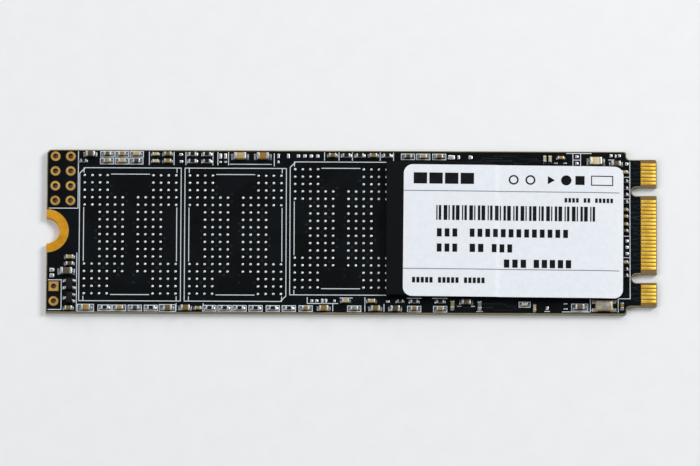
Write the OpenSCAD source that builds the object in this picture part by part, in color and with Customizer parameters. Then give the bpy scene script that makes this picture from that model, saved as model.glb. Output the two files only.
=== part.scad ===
// Gumstick solid state drive, 22 by 80 mm, with two key notches in its card edge.
// The board lies flat with its label side up. +X points to the card edge and +Y to the long
// edge beside the header holes. The origin is under the middle of the board, on the plane
// that it rests on. Along the board, the header, the jumper and the transistors are placed
// from the mounting end and all the rest from the tip of the card edge. Across it, places
// are measured from the nearest long edge, or from the middle.

/* [Board] */
// Length of the board, from the mounting end to the tip of the card edge
board_len = 80; // [80:1:110]
// Width of the board
board_w = 22; // [22:0.5:30]
// Thickness of the board over both mask films
board_t = 0.8; // [0.6:0.1:1.6]
// Thickness of the mask film, and of the bare metal beside it
skin_t = 0.03; // [0.02:0.01:0.06]
// Bare line that the mask leaves along the board's edges
mask_back = 0.12; // [0.05:0.01:0.2]
// Clearance of the mask round bare metal
mask_clear = 0.05; // [0.02:0.01:0.1]
// Leg of the cut corner beside the header holes
corner_cut = 0.35; // [0.1:0.05:0.5]
// Leg of the cut corners at the card edge
small_cut = 0.2; // [0.05:0.05:0.4]

/* [Card edge] */
// Width of the tongue that the socket takes
tongue_w = 19.85; // [19.6:0.05:20]
// Length of the tongue
tongue_len = 4; // [3.9:0.05:4.2]
// Fillet radius at the tongue's root
root_r = 0.5; // [0.3:0.1:0.8]
// Length of the bevel at the tongue's tip
bevel_len = 0.15; // [0.05:0.05:0.3]
// Depth of the bevel at the tongue's tip
bevel_depth = 0.15; // [0.05:0.05:0.2]
// Width of a key notch
key_w = 1.2; // [1:0.05:1.4]
// Depth of a key notch
key_depth = 3.3; // [2.8:0.1:3.4]
// Distance between one contact and the next on the same face
contact_pitch = 0.5; // [0.49:0.01:0.51]
// Width of a contact
contact_w = 0.38; // [0.25:0.01:0.4]
// Length of a contact
contact_len = 1.95; // [1.5:0.05:2.2]

/* [Mounting notch] */
// Radius of the half-round notch
notch_r = 1.75; // [1.5:0.05:2]
// Outer radius of the plated pad round the notch
notch_pad_r = 2.9; // [2.5:0.05:3]

/* [Header holes] */
// Thickness of the plating in a hole
plating_t = 0.05; // [0.03:0.01:0.1]
// Distance between neighbouring holes
hole_pitch = 2; // [1.8:0.05:2.1]
// Diameter of a finished hole
hole_d = 0.7; // [0.5:0.05:0.8]
// Diameter of the ring round a hole
ring_d = 1.24; // [1.1:0.01:1.4]
// Distance of the first holes from the mounting end
hole_u = 1.1; // [1:0.05:1.3]
// Distance of the first holes from the long edge
hole_v = 0.9; // [0.85:0.05:1]
// Distance of the lower pair of holes from the other long edge
jumper_v = 1.5; // [1.2:0.05:1.6]

/* [Memory sites] */
// Distance between neighbouring lands and balls
land_pitch = 1; // [0.9:0.01:1.02]
// Diameter of a tinned land
land_d = 0.36; // [0.3:0.02:0.5]
// Height of the solder on a land
land_h = 0.1; // [0.05:0.01:0.2]
// Distance from the memory package's middle to the middle of the nearest site
site_first = 12.95; // [12.8:0.05:13.2]
// Distance between neighbouring sites
site_pitch = 13.8; // [13.5:0.05:14]
// Offset of a site's middle from the board's middle
site_shift = 0.45; // [0:0.05:0.6]
// Length of the printed frame round a site, along the board
frame_w = 13.3; // [13:0.1:13.4]
// Width of a printed line
line_w = 0.1; // [0.08:0.01:0.16]
// Thickness of the printed ink
ink_t = 0.02; // [0.01:0.01:0.04]

/* [Packages] */
// Length of the memory package along the board
memory_l = 14; // [13:0.1:14.4]
// Distance of the memory package's middle from the tip of the card edge
memory_back = 28.5; // [28:0.1:29]
// Strip for chips between the memory package and the header's long edge
upper_strip = 1.7; // [1.4:0.05:2]
// Strip for chips between the memory package and the other long edge
lower_strip = 2.3; // [2.1:0.05:2.6]
// Thickness of the memory package
memory_t = 0.9; // [0.7:0.05:1.2]
// Height of the memory package above the board
ball_h = 0.3; // [0.22:0.01:0.4]
// Diameter of a solder ball at its middle
ball_d = 0.5; // [0.4:0.02:0.6]
// Side of the controller package
controller_l = 11; // [10.4:0.1:11.4]
// Thickness of the controller package
controller_t = 0.85; // [0.7:0.05:1]
// Height of the controller package above the board
controller_ball_h = 0.25; // [0.2:0.01:0.35]
// Distance between neighbouring balls of the controller
controller_pitch = 0.8; // [0.75:0.01:0.82]
// Diameter of a controller ball at its middle
controller_ball_d = 0.4; // [0.3:0.02:0.5]
// Gap between the two packages
package_gap = 1.1; // [0.6:0.1:1.3]
// Margin of a package outside the middles of its outer balls
ball_margin = 0.6; // [0.5:0.05:0.7]

/* [Chip parts] */
// Length of a tiny chip
tiny_l = 0.8; // [0.6:0.05:0.85]
// Width of a tiny chip
tiny_w = 0.42; // [0.3:0.02:0.44]
// Height of a tiny chip
tiny_h = 0.35; // [0.25:0.05:0.5]
// Length of a small chip
small_l = 1; // [0.8:0.05:1.05]
// Width of a small chip
small_w = 0.5; // [0.4:0.02:0.54]
// Height of a small chip capacitor
small_h = 0.5; // [0.4:0.05:0.6]
// Length of a medium chip
medium_l = 1.25; // [1.1:0.05:1.3]
// Width of a medium chip
medium_w = 0.66; // [0.5:0.02:0.7]
// Height of a medium chip
medium_h = 0.6; // [0.4:0.05:0.8]
// Length of a large chip
large_l = 1.6; // [1.4:0.05:1.7]
// Width of a large chip
large_w = 0.85; // [0.7:0.05:0.95]
// Height of a large chip
large_h = 0.8; // [0.5:0.05:0.9]
// Height of a chip resistor
resistor_h = 0.33; // [0.25:0.01:0.4]
// Length of an end cap as a share of the chip's length
cap_share = 0.22; // [0.15:0.01:0.28]
// Thickness of a tinned pad
pad_t = 0.04; // [0.02:0.01:0.06]
// Reach of the solder beyond a chip's end, as a share of the chip's length
reach_share = 0.24; // [0.15:0.01:0.26]

/* [Power parts] */
// Length of the coil along the board
coil_l = 2; // [1.6:0.1:2.2]
// Width of the coil
coil_w = 2.5; // [2:0.1:3]
// Height of the coil
coil_h = 0.75; // [0.5:0.05:0.9]
// Side of the regulator
regulator_l = 2; // [1.6:0.1:2.4]
// Height of the regulator
regulator_h = 0.5; // [0.4:0.05:0.8]
// Gap between the coil's solder and the chips at the tongue's root
root_gap = 0.25; // [0.15:0.05:0.3]
// Length of the four-lead transistor along the board
switch_l = 0.85; // [0.7:0.05:1]
// Width of the four-lead transistor
switch_w = 1.45; // [1.2:0.05:1.6]
// Length of the three-lead transistor along the board
triode_l = 0.8; // [0.7:0.05:1]
// Width of the three-lead transistor
triode_w = 1.35; // [1.2:0.05:1.5]
// Height of a transistor's body
transistor_h = 0.5; // [0.4:0.05:0.7]

/* [Crystal and cream block] */
// Length of the crystal's ceramic base
crystal_l = 2.3; // [2:0.05:2.4]
// Width of the crystal's ceramic base
crystal_w = 1.4; // [1.2:0.05:1.5]
// Height of the crystal's ceramic base
crystal_h = 0.35; // [0.3:0.05:0.5]
// Thickness of the crystal's metal lid
lid_t = 0.12; // [0.08:0.01:0.2]
// Margin of the crystal's base round its lid
lid_margin = 0.1; // [0.05:0.01:0.2]
// Length of the cream block capacitor
block_l = 1.65; // [1.4:0.05:1.7]
// Width of the cream block capacitor
block_w = 1; // [0.8:0.05:1.05]
// Height of the cream block capacitor
block_h = 0.8; // [0.5:0.05:0.9]

/* [Label] */
// Length of the label along the board
label_l = 28.8; // [26:0.1:28.8]
// Width of the label across the board
label_w = 17.8; // [17:0.1:18]
// Thickness of the label
label_t = 0.1; // [0.06:0.01:0.2]
// Radius of the label's corners
label_r = 1.2; // [0.5:0.1:2]
// Distance of the label's end from the memory package's edge
label_step = 2.25; // [2:0.05:2.5]
// Clockwise turn of the label, in degrees
label_turn = 0.4; // [0:0.1:0.6]
// Droop of the label's free end past the controller
label_droop = 0.2; // [0:0.02:0.3]

/* [Hidden] */
$fn = 48;
cut = 1; // overlap of a cutting tool past the face that it cuts

left_x = -board_len / 2;
tip_x = board_len / 2;
shoulder_x = tip_x - tongue_len;
core_t = board_t - 2 * skin_t;
mask_end_x = tip_x - bevel_len - contact_len - mask_clear;

// Places on the board: along it from the mounting end or back from the tip, and across it
// from a long edge, where side is 1 for the edge beside the header holes and -1 for the other.
function along(u) = left_x + u;
function back(t) = tip_x - t;
function across(v, side) = side * (board_w / 2 - v);

// A shorter board has less room for sites and chips beyond what the mounting end needs
mount_zone = 4.1;
chip_zone = 7.3;
function fits(t) = back(t) > left_x + chip_zone;

// Pins are numbered from the header's side, odd ones on top and even ones below.
pin_count = 75;
middle_pin = (pin_count + 1) / 2;
keys = [[12, 19], [59, 66]];
function pin_y(n) = (middle_pin - n) * contact_pitch / 2;
function key_y(k) = pin_y((k[0] + k[1]) / 2);
contact_margin = 0.3;
function has_pin(n) =
    len([for (k = keys) if (n >= k[0] && n <= k[1]) n]) == 0
    && abs(pin_y(n)) + contact_w / 2 <= tongue_w / 2 - contact_margin;

// The memory package stands between the two strips, and the empty sites have its footprint:
// four corner groups of balls or lands, two middle groups, and full rows between them.
memory_w = board_w - upper_strip - lower_strip;
memory_x = back(memory_back);
memory_y = (lower_strip - upper_strip) / 2;
memory_top = board_t + ball_h + memory_t;
land_margin = 0.9;
land_rows = floor((memory_w / 2 - land_margin) / land_pitch);
land_columns = floor((memory_l / 2 - land_margin) / land_pitch);
function has_land(row, column) =
    column != 0 && (
        abs(row) >= land_rows - 2 ? abs(column) >= land_columns - 3 :
        abs(row) >= land_rows - 4 ? true :
        abs(column) <= land_columns - 2
    );
function land_places() = [
    for (row = [-land_rows : land_rows])
        for (column = [-land_columns : land_columns])
            if (has_land(row, column))
                [column * land_pitch, row * land_pitch]
];

// Sites follow each other from the memory package towards the mounting end
site_room = memory_x - site_first - frame_w / 2 - left_x - mount_zone;
site_count = floor(site_room / site_pitch) + 1;
function site_x(i) = memory_x - site_first - i * site_pitch;
function site_y(i) = i == 0 ? site_shift : -site_shift;

controller_x = memory_x + memory_l / 2 + package_gap + controller_l / 2;
controller_top = board_t + controller_ball_h + controller_t;
controller_rows = floor((controller_l / 2 - ball_margin) / controller_pitch);

// Sizes of chips: length, width, height
tiny = [tiny_l, tiny_w, tiny_h];
small = [small_l, small_w, small_h];
medium = [medium_l, medium_w, medium_h];
large = [large_l, large_w, large_h];
thin = [small_l, small_w, resistor_h];

// Chips on the header's side: finish, size, along, across, turn, 1 with a printed box.
// Those in a mount list are placed from the mounting end and the rest back from the tip.
upper_mount_chips = [
    ["resistor", tiny, 4.75, 1.55, 0, 0],
    ["brown", medium, 5.65, 0.65, 0, 0]
];
upper_chips = [
    ["olive", small, 72.1, 0.6, 0, 1],
    ["tan", small, 72.15, 1.55, 0, 1],
    ["orange", small, 70.2, 0.6, 0, 1],
    ["tan", small, 70.2, 1.55, 0, 1],
    ["tan", small, 68.25, 0.6, 0, 1],
    ["brown", small, 68.3, 1.55, 0, 1],
    ["tan", tiny, 65.8, 0.6, 0, 0],
    ["tan", tiny, 65.8, 1.55, 0, 0],
    ["olive", small, 64.2, 0.6, 0, 0],
    ["orange", small, 64.2, 1.55, 0, 0],
    ["resistor", thin, 60.95, 0.6, 0, 0],
    ["resistor", thin, 60.95, 1.55, 0, 0],
    ["resistor", thin, 59.05, 0.6, 0, 0],
    ["resistor", thin, 59.05, 1.55, 0, 0],
    ["tan", large, 54.7, 0.9, 0, 0],
    ["orange", large, 51.7, 0.9, 0, 0],
    ["orange", small, 42.55, 0.7, 0, 0],
    ["resistor", thin, 40.75, 0.7, 0, 0],
    ["resistor", thin, 38.95, 0.7, 0, 0],
    ["olive", small, 37.2, 0.7, 0, 0],
    ["resistor", thin, 35.4, 0.7, 0, 0],
    ["brown", small, 32.65, 0.8, 0, 1],
    ["tan", small, 30.65, 0.8, 0, 1],
    ["orange", small, 28.55, 0.8, 0, 1],
    ["cream", tiny, 14.7, 1.1, 90, 0],
    ["cream", tiny, 14, 1.1, 90, 0],
    ["orange", tiny, 12.6, 0.9, 0, 0],
    ["brown", medium, 5.35, 1.7, 0, 0]
];

// Chips on the other side
lower_mount_chips = [
    ["tan", small, 3.05, 7.4, 0, 0],
    ["brown", small, 3.05, 6.5, 0, 0],
    ["brown", large, 2.65, 5.45, 0, 0],
    ["olive", small, 2.95, 0.52, 0, 0],
    ["orange", medium, 5.2, 0.6, 0, 1]
];
lower_chips = [
    ["resistor", thin, 72.3, 0.6, 0, 1],
    ["orange", small, 70.4, 0.6, 0, 1],
    ["brown", small, 68.35, 0.6, 0, 1],
    ["resistor", thin, 66.25, 0.6, 0, 1],
    ["olive", medium, 64.1, 0.6, 0, 1],
    ["orange", medium, 61.75, 0.6, 0, 0],
    ["tan", tiny, 60.1, 0.6, 0, 0],
    ["resistor", thin, 58.6, 0.6, 0, 1],
    ["resistor", thin, 56.6, 0.6, 0, 1],
    ["resistor", thin, 54.65, 0.6, 0, 1],
    ["resistor", thin, 52.55, 0.6, 0, 1],
    ["resistor", thin, 50.3, 0.6, 0, 1],
    ["resistor", thin, 48.2, 0.6, 0, 1],
    ["orange", small, 46, 0.6, 0, 1],
    ["orange", medium, 43.65, 0.6, 0, 0],
    ["tan", small, 40.8, 1.6, 0, 0],
    ["grey", small, 39.65, 0.6, 0, 1],
    ["tan", small, 37.4, 1.6, 0, 0],
    ["olive", medium, 36.9, 0.6, 0, 0],
    ["resistor", tiny, 33.65, 1.6, 0, 0],
    ["brown", medium, 34.3, 0.6, 0, 0],
    ["resistor", thin, 31.8, 1.6, 0, 0],
    ["orange", small, 31.8, 0.6, 0, 1],
    ["resistor", thin, 28.4, 1.6, 0, 0],
    ["orange", small, 28.4, 0.6, 0, 1],
    ["olive", small, 26.8, 1.15, 90, 0],
    ["brown", medium, 25, 1.5, 0, 0],
    ["grey", small, 23.25, 1.1, 90, 0],
    ["cream", tiny, 17.35, 1.25, 0, 1],
    ["tan", tiny, 16.05, 0.8, 90, 0],
    ["brown", medium, 10.15, 0.9, 0, 1],
    ["olive", tiny, 4.6, 1.1, 90, 0]
];

// Column of tiny chips beside the tongue's root: finish and distance from the middle
root_chips = [
    ["tan", 8.2],
    ["resistor", 6.95],
    ["resistor", 6],
    ["resistor", 5.15],
    ["resistor", 4.15],
    ["olive", 3.1],
    ["orange", 2.2],
    ["orange", 1.15],
    ["brown", 0.25],
    ["tan", -4],
    ["resistor", -4.95],
    ["resistor", -5.8]
];
root_chip_x = shoulder_x - 0.25;

// All chips in the board's own frame: finish, size, x, y, turn, boxed
chips = concat(
    [for (c = upper_mount_chips) [c[0], c[1], along(c[2]), across(c[3], 1), c[4], c[5]]],
    [for (c = lower_mount_chips) [c[0], c[1], along(c[2]), across(c[3], -1), c[4], c[5]]],
    [for (c = upper_chips) if (fits(c[2])) [c[0], c[1], back(c[2]), across(c[3], 1), c[4], c[5]]],
    [for (c = lower_chips) if (fits(c[2])) [c[0], c[1], back(c[2]), across(c[3], -1), c[4], c[5]]],
    [for (c = root_chips) [c[0], tiny, root_chip_x, c[1], 0, 0]]
);

// Empty pads: along, across, length, width
upper_pads = [
    [62.45, 0.6, 0.45, 0.35], [62.4, 1.55, 0.45, 0.35], [57.25, 0.8, 0.35, 0.7], [56.6, 0.8, 0.35, 0.7],
    [57.25, 1.6, 0.3, 0.25], [56.6, 1.6, 0.3, 0.25], [49.65, 0.75, 0.3, 0.6], [48.35, 0.75, 0.35, 0.6],
    [49.65, 1.55, 0.25, 0.35], [47.05, 0.75, 0.42, 0.42], [46.2, 0.75, 0.42, 0.42], [45.35, 0.75, 0.42, 0.42],
    [44.5, 0.75, 0.42, 0.42], [26.95, 0.85, 0.85, 0.6], [26, 0.85, 0.3, 0.55], [24.45, 0.85, 0.5, 0.5],
    [13.25, 1.6, 0.5, 0.15], [12.05, 1.6, 0.5, 0.15], [10.5, 0.7, 0.4, 0.4], [10.5, 1.6, 0.4, 0.4],
    [6, 0.55, 0.35, 0.4], [5.4, 0.6, 0.2, 0.5], [4.9, 0.55, 0.35, 0.4]
];
lower_mount_pads = [
    [0.75, 5.7, 0.6, 0.5], [0.75, 4.95, 0.6, 0.5]
];
lower_pads = [
    [45.2, 1.65, 0.35, 0.4], [44.55, 1.65, 0.4, 0.4], [43.85, 1.65, 0.3, 0.55], [43.35, 1.65, 0.3, 0.55],
    [42.25, 1.65, 0.3, 0.35], [35.25, 1.6, 0.45, 0.3], [14.4, 0.8, 0.35, 0.5], [12, 1.4, 0.5, 0.2],
    [12, 0.7, 0.5, 0.2]
];
root_pads = [9.35, -1.1, -1.95, -2.8];
root_pad_l = 0.42;
root_pad_x = root_chip_x + 0.3;

// All empty pads in the board's own frame: x, y, length, width
pads = concat(
    [for (p = lower_mount_pads) [along(p[0]), across(p[1], -1), p[2], p[3]]],
    [for (p = upper_pads) if (fits(p[0])) [back(p[0]), across(p[1], 1), p[2], p[3]]],
    [for (p = lower_pads) if (fits(p[0])) [back(p[0]), across(p[1], -1), p[2], p[3]]],
    [for (y = root_pads) [root_pad_x, y, root_pad_l, root_pad_l]]
);

// Printed lines along the board: start, end, across. Posts across it: along, start, end.
upper_lines = [
    [56, 50.6, 1.9], [11.8, 8.6, 0.25], [11, 10, 1.15], [6.3, 5.6, 1.12]
];
upper_posts = [
    [66.6, 0.3, 2], [63.35, 0.3, 2], [61.8, 0.3, 2], [58.25, 0.3, 2],
    [57.6, 0.3, 2], [56.2, 0.3, 2], [50.2, 0.45, 2.1], [43.6, 0.3, 1.3],
    [41.7, 0.3, 1.3], [39.95, 0.3, 1.3], [36.3, 0.3, 1.3], [34.55, 0.3, 1.3],
    [11, 0.25, 2], [10, 0.25, 2]
];
lower_mount_lines = [
    [0.3, 1.9, 4.35], [0.3, 1.9, 0.35]
];
lower_lines = [
    [45.7, 41.8, 1.3], [41.5, 39.9, 2.05], [32.7, 30.9, 2.05], [29.4, 27.5, 2.05],
    [26.1, 25.7, 1], [24.3, 23.9, 1], [23.6, 22.9, 0.3], [14.7, 14.1, 0.35],
    [12.4, 8.9, 0.3]
];
lower_mount_posts = [
    [2, 0.35, 4.4], [4, 0.2, 8]
];
lower_posts = [
    [45.8, 1.3, 2.1], [62.95, 0.25, 1.2], [59.4, 0.25, 1.2], [42.45, 0.3, 1.2],
    [38.25, 0.3, 2.1], [35.75, 0.3, 1.2], [8.75, 0.3, 2], [5.1, 0.3, 2]
];
box_gap = 0.08;
root_line_x = shoulder_x + 0.46;
root_dividers = [7.55, 4.6, -0.45, -3.35];

// All printed lines in the board's own frame, as two ends of a centre line: x, y, x, y
strokes = concat(
    [for (l = lower_mount_lines) [along(l[0]), across(l[2], -1), along(l[1]), across(l[2], -1)]],
    [for (p = lower_mount_posts) [along(p[0]), across(p[1], -1), along(p[0]), across(p[2], -1)]],
    [for (l = upper_lines) if (fits(l[0])) [back(l[0]), across(l[2], 1), back(l[1]), across(l[2], 1)]],
    [for (l = lower_lines) if (fits(l[0])) [back(l[0]), across(l[2], -1), back(l[1]), across(l[2], -1)]],
    [for (p = upper_posts) if (fits(p[0])) [back(p[0]), across(p[1], 1), back(p[0]), across(p[2], 1)]],
    [for (p = lower_posts) if (fits(p[0])) [back(p[0]), across(p[1], -1), back(p[0]), across(p[2], -1)]],
    [for (y = root_dividers) [root_chip_x - 0.4, y, root_line_x, y]],
    [
        [root_line_x, 9.6, root_line_x, -8.9],
        [shoulder_x - 1, -8.9, root_line_x, -8.9],
        [along(0.3), 3.05, along(mount_zone), 3.05],
        [along(mount_zone), 3.05, along(mount_zone), across(0.25, 1)]
    ]
);

// Parts that stand alone on the long edges
crystal_place = [back(6.95), across(1.1, -1)];
block_place = [back(8), across(1.4, 1)];
switch_place = [along(3.05), across(3.75, -1)];
triode_place = [along(3.05), across(1.9, -1)];
block_size = [block_l, block_w, block_h];
switch_size = [switch_l, switch_w, transistor_h];
triode_size = [triode_l, triode_w, transistor_h];

// The coil and the regulator stand under the label, beside the chips at the tongue's root
coil_size = [coil_l, coil_w, coil_h];
root_reach_x = root_chip_x - tiny_l * (0.5 + reach_share);
coil_place = [root_reach_x - root_gap - coil_l * (0.5 + reach_share), 4];
regulator_place = [coil_place[0], -1];

label_x = memory_x - memory_l / 2 + label_step + label_l / 2;
label_y = -0.12;

// Outline of the board, drawn back by inset and ending at end_x
module board_outline(inset = 0, notch = notch_r, end_x = tip_x) {
    half_w = board_w / 2 - inset;
    half_tongue = tongue_w / 2 - inset;
    start = left_x + inset;
    shoulder = shoulder_x - inset;
    fillet = min(root_r, (board_w - tongue_w) / 2) + inset;
    difference() {
        union() {
            polygon([
                [start, -half_w],
                [shoulder - small_cut, -half_w],
                [shoulder, -half_w + small_cut],
                [shoulder, half_w - small_cut],
                [shoulder - small_cut, half_w],
                [start + corner_cut, half_w],
                [start, half_w - corner_cut]
            ]);
            polygon([
                [shoulder - tongue_len, -half_tongue],
                [end_x - small_cut, -half_tongue],
                [end_x, -half_tongue + small_cut],
                [end_x, half_tongue - small_cut],
                [end_x - small_cut, half_tongue],
                [shoulder - tongue_len, half_tongue]
            ]);
            for (side = [-1, 1])
                difference() {
                    translate([shoulder + fillet / 2, side * (half_tongue + fillet / 2)])
                        square(fillet, center = true);
                    translate([shoulder + fillet, side * (half_tongue + fillet)])
                        circle(r = fillet);
                }
        }
        for (k = keys)
            key_notch(key_y(k), inset);
        translate([left_x, 0])
            circle(r = notch);
    }
}

// Key notch with a round inner end
module key_notch(y, inset) {
    r = key_w / 2 + inset;
    inner_x = tip_x - key_depth + key_w / 2;
    translate([inner_x, y]) {
        circle(r = r);
        translate([0, -r])
            square([key_depth + cut, 2 * r]);
    }
}

header_room = board_w / 2 - hole_v - ring_d / 2 - notch_pad_r;
header_rows = floor(header_room / hole_pitch) + 1;
function header_places() = [
    for (i = [0, 1])
        for (j = [0 : header_rows - 1])
            [along(hole_u + i * hole_pitch), across(hole_v + j * hole_pitch, 1)]
];
function jumper_places() = [
    for (j = [0, 1])
        [along(hole_u - 0.1), across(jumper_v + j * hole_pitch, -1)]
];

module board_core() {
    color("#b9b48c")
    translate([0, 0, skin_t])
    difference() {
        linear_extrude(height = core_t)
            board_outline();
        for (p = concat(header_places(), jumper_places()))
            translate([p[0], p[1], -cut])
                cylinder(h = core_t + 2 * cut, d = hole_d + 2 * plating_t);
        for (face = [0, core_t])
            translate([tip_x, 0, face])
                rotate([90, 0, 0])
                    linear_extrude(height = board_w, center = true)
                        polygon([[-bevel_len, 0], [0, -bevel_depth], [0, bevel_depth]]);
    }
}

// Mask film of one face, open round all bare metal
module mask_film() {
    linear_extrude(height = skin_t)
    difference() {
        board_outline(mask_back, notch_pad_r + mask_clear, tip_x + cut);
        translate([mask_end_x, -board_w])
            square([tongue_len + cut, 2 * board_w]);
        for (p = header_places())
            translate(p)
                circle(d = ring_d + 2 * mask_clear);
        translate(jumper_places()[0])
            circle(d = ring_d + 2 * mask_clear);
        translate(jumper_places()[1])
            square(ring_d + 2 * mask_clear, center = true);
    }
}

module mask_top() {
    color("#0d1216")
    translate([0, 0, board_t - skin_t])
        mask_film();
}

module mask_bottom() {
    color("#0d1216")
        mask_film();
}

// Row of contacts: every second pin from first on, without those at the key notches
module contact_row(first) {
    for (n = [first : 2 : pin_count])
        if (has_pin(n))
            translate([tip_x - bevel_len - contact_len, pin_y(n) - contact_w / 2, 0])
                cube([contact_len, contact_w, skin_t]);
}

module contacts_top() {
    color("#d9a93a")
    translate([0, 0, board_t - skin_t])
        contact_row(1);
}

module contacts_bottom() {
    color("#d9a93a")
        contact_row(2);
}

// Half ring round the notch on each face
module notch_plating() {
    color("#c8901f")
    for (z = [0, board_t - skin_t])
        translate([left_x, 0, z])
            linear_extrude(height = skin_t)
                difference() {
                    circle(r = notch_pad_r);
                    circle(r = notch_r);
                    translate([-2 * notch_pad_r, -notch_pad_r - cut])
                        square([2 * notch_pad_r, 2 * (notch_pad_r + cut)]);
                }
}

// Plated hole: a tube through the board with a ring on each face
module plated_hole(square_pad = false) {
    difference() {
        union() {
            cylinder(h = board_t, d = hole_d + 2 * plating_t);
            for (z = [0, board_t - skin_t])
                translate([0, 0, z])
                    if (square_pad)
                        translate([-ring_d / 2, -ring_d / 2, 0])
                            cube([ring_d, ring_d, skin_t]);
                    else
                        cylinder(h = skin_t, d = ring_d);
        }
        translate([0, 0, -cut])
            cylinder(h = board_t + 2 * cut, d = hole_d);
    }
}

module header_holes() {
    color("#dba64a")
    for (p = header_places())
        translate([p[0], p[1], 0])
            plated_hole();
}

module jumper_holes() {
    color("#dba64a")
    for (i = [0, 1])
        translate([jumper_places()[i][0], jumper_places()[i][1], 0])
            plated_hole(i == 1);
}

// Solder dome on a land
module land_dome() {
    r = land_d / 2;
    rotate_extrude($fn = 24)
        polygon([[0, 0], [r, 0], [0.88 * r, 0.5 * land_h], [0.5 * r, land_h], [0, land_h]]);
}

module site_lands() {
    color("#cfd3d6")
    for (i = [0 : site_count - 1])
        translate([site_x(i), site_y(i), board_t])
            for (p = land_places())
                translate(p)
                    land_dome();
}

// Printed line between two corners of its centre line
module printed_line(x0, y0, x1, y1) {
    translate([min(x0, x1) - line_w / 2, min(y0, y1) - line_w / 2])
        square([abs(x1 - x0) + line_w, abs(y1 - y0) + line_w]);
}

// Printed rectangle of the given centre-line size, round the present origin
module printed_box(l, w) {
    difference() {
        square([l + line_w, w + line_w], center = true);
        square([l - line_w, w - line_w], center = true);
    }
}

// Frame of a memory site with one cut corner, and lines between its groups of lands
frame_cut = 0.75;
module site_frame(cut_x, cut_y) {
    w = frame_w / 2;
    h = memory_w / 2;
    side_x = (land_columns + 0.1) * land_pitch;
    side_y = (land_rows + 0.15) * land_pitch;
    group_x = (land_columns - 3.5) * land_pitch;
    group_y = (land_rows - 4.4) * land_pitch;
    difference() {
        frame_shape(w + line_w / 2, h + line_w / 2, frame_cut, cut_x, cut_y);
        frame_shape(w - line_w / 2, h - line_w / 2, frame_cut - 0.4 * line_w, cut_x, cut_y);
    }
    for (side = [-1, 1]) {
        printed_line(-group_x, side * side_y, group_x, side * side_y);
        printed_line(side * side_x, -group_y, side * side_x, group_y);
        for (end = [-1, 1])
            printed_line(side * side_x, end * (h - 0.6), side * side_x, end * h);
    }
}

module frame_shape(w, h, leg, cut_x, cut_y) {
    difference() {
        square([2 * w, 2 * h], center = true);
        translate([cut_x * w, cut_y * h])
            rotate(45)
                square(leg * sqrt(2), center = true);
    }
}

module site_frames() {
    color("#c9d0d6")
    translate([0, 0, board_t])
    linear_extrude(height = ink_t)
    difference() {
        for (i = [0 : site_count - 1])
            translate([site_x(i), site_y(i)])
                site_frame(i == 1 ? 1 : -1, i == 1 ? -1 : 1);
        pad_areas();
        for (row = [-land_rows : land_rows])
            translate([memory_x - land_columns * land_pitch, memory_y + row * land_pitch])
                circle(d = neck_share * ball_d + 2 * mask_clear);
    }
}

// Areas that the print leaves free: all pads with a clearance round them
module free_area(place, l, w) {
    translate([place[0], place[1]])
        square([l + 2 * mask_clear, w + 2 * mask_clear], center = true);
}

module pad_areas() {
    for (c = chips)
        translate([c[2], c[3]])
            rotate(c[4])
                free_area([0, 0], c[1][0] * (1 + 2 * reach_share), c[1][1]);
    for (p = pads)
        free_area(p, p[2], p[3]);
    free_area(crystal_place, crystal_l + 2 * crystal_reach, crystal_w + 2 * crystal_side);
    free_area(block_place, block_l * (1 + 2 * reach_share), block_w);
    free_area(switch_place, switch_l + 2 * foot_reach, switch_w);
    free_area(triode_place, triode_l + 2 * foot_reach, triode_w);
}

// Boxes round single chips, lines between groups, and the line round the root chips
module part_legend() {
    color("#c9d0d6")
    translate([0, 0, board_t])
    linear_extrude(height = ink_t)
    difference() {
        legend_lines();
        pad_areas();
    }
}

module legend_lines() {
    for (c = chips)
        if (c[5] == 1)
            translate([c[2], c[3]])
                printed_box(
                    c[1][0] * (1 + 2 * reach_share) + line_w + 2 * box_gap,
                    c[1][1] + line_w + 2 * box_gap
                );
    for (l = strokes)
        printed_line(l[0], l[1], l[2], l[3]);
}

// Rounded package body standing on its lower face
module package(l, w, t) {
    r = 0.15;
    linear_extrude(height = t)
        union() {
            square([l - 2 * r, w], center = true);
            square([l, w - 2 * r], center = true);
            for (x = [-1, 1])
                for (y = [-1, 1])
                    translate([x * (l / 2 - r), y * (w / 2 - r)])
                        circle(r = r);
        }
}

// Solder ball pressed flat at both ends
neck_share = 0.72;
module solder_ball(d, h) {
    neck = neck_share * d / 2;
    rotate_extrude($fn = 24)
        polygon([[0, 0], [neck, 0], [d / 2, h / 2], [neck, h], [0, h]]);
}

module memory_package() {
    color("#26292c")
    translate([memory_x, memory_y, board_t + ball_h])
        package(memory_l, memory_w, memory_t);
}

module memory_balls() {
    color("#b4b8bb")
    translate([memory_x, memory_y, board_t])
        for (p = land_places())
            translate(p)
                solder_ball(ball_d, ball_h);
}

module controller_package() {
    color("#1d2023")
    translate([controller_x, 0, board_t + controller_ball_h])
        package(controller_l, controller_l, controller_t);
}

// Three outer rings of balls and a block of nine in the middle
module controller_balls() {
    color("#b4b8bb")
    translate([controller_x, 0, board_t])
        for (i = [-controller_rows : controller_rows])
            for (j = [-controller_rows : controller_rows])
                if (max(abs(i), abs(j)) > controller_rows - 3 || max(abs(i), abs(j)) < 2)
                    translate([i * controller_pitch, j * controller_pitch, 0])
                        solder_ball(controller_ball_d, controller_ball_h);
}

// Length of a chip's end cap, and reach of the solder past the chip
function cap_l(size) = cap_share * size[0];
function reach(size) = reach_share * size[0];
cap_skin = 0.02;

// Ceramic between the end caps, a little smaller than they are
module chip_body(size) {
    l = size[0] - 2 * cap_l(size);
    translate([-l / 2, -size[1] / 2 + cap_skin, cap_skin])
        cube([l, size[1] - 2 * cap_skin, size[2] - 2 * cap_skin]);
}

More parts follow.
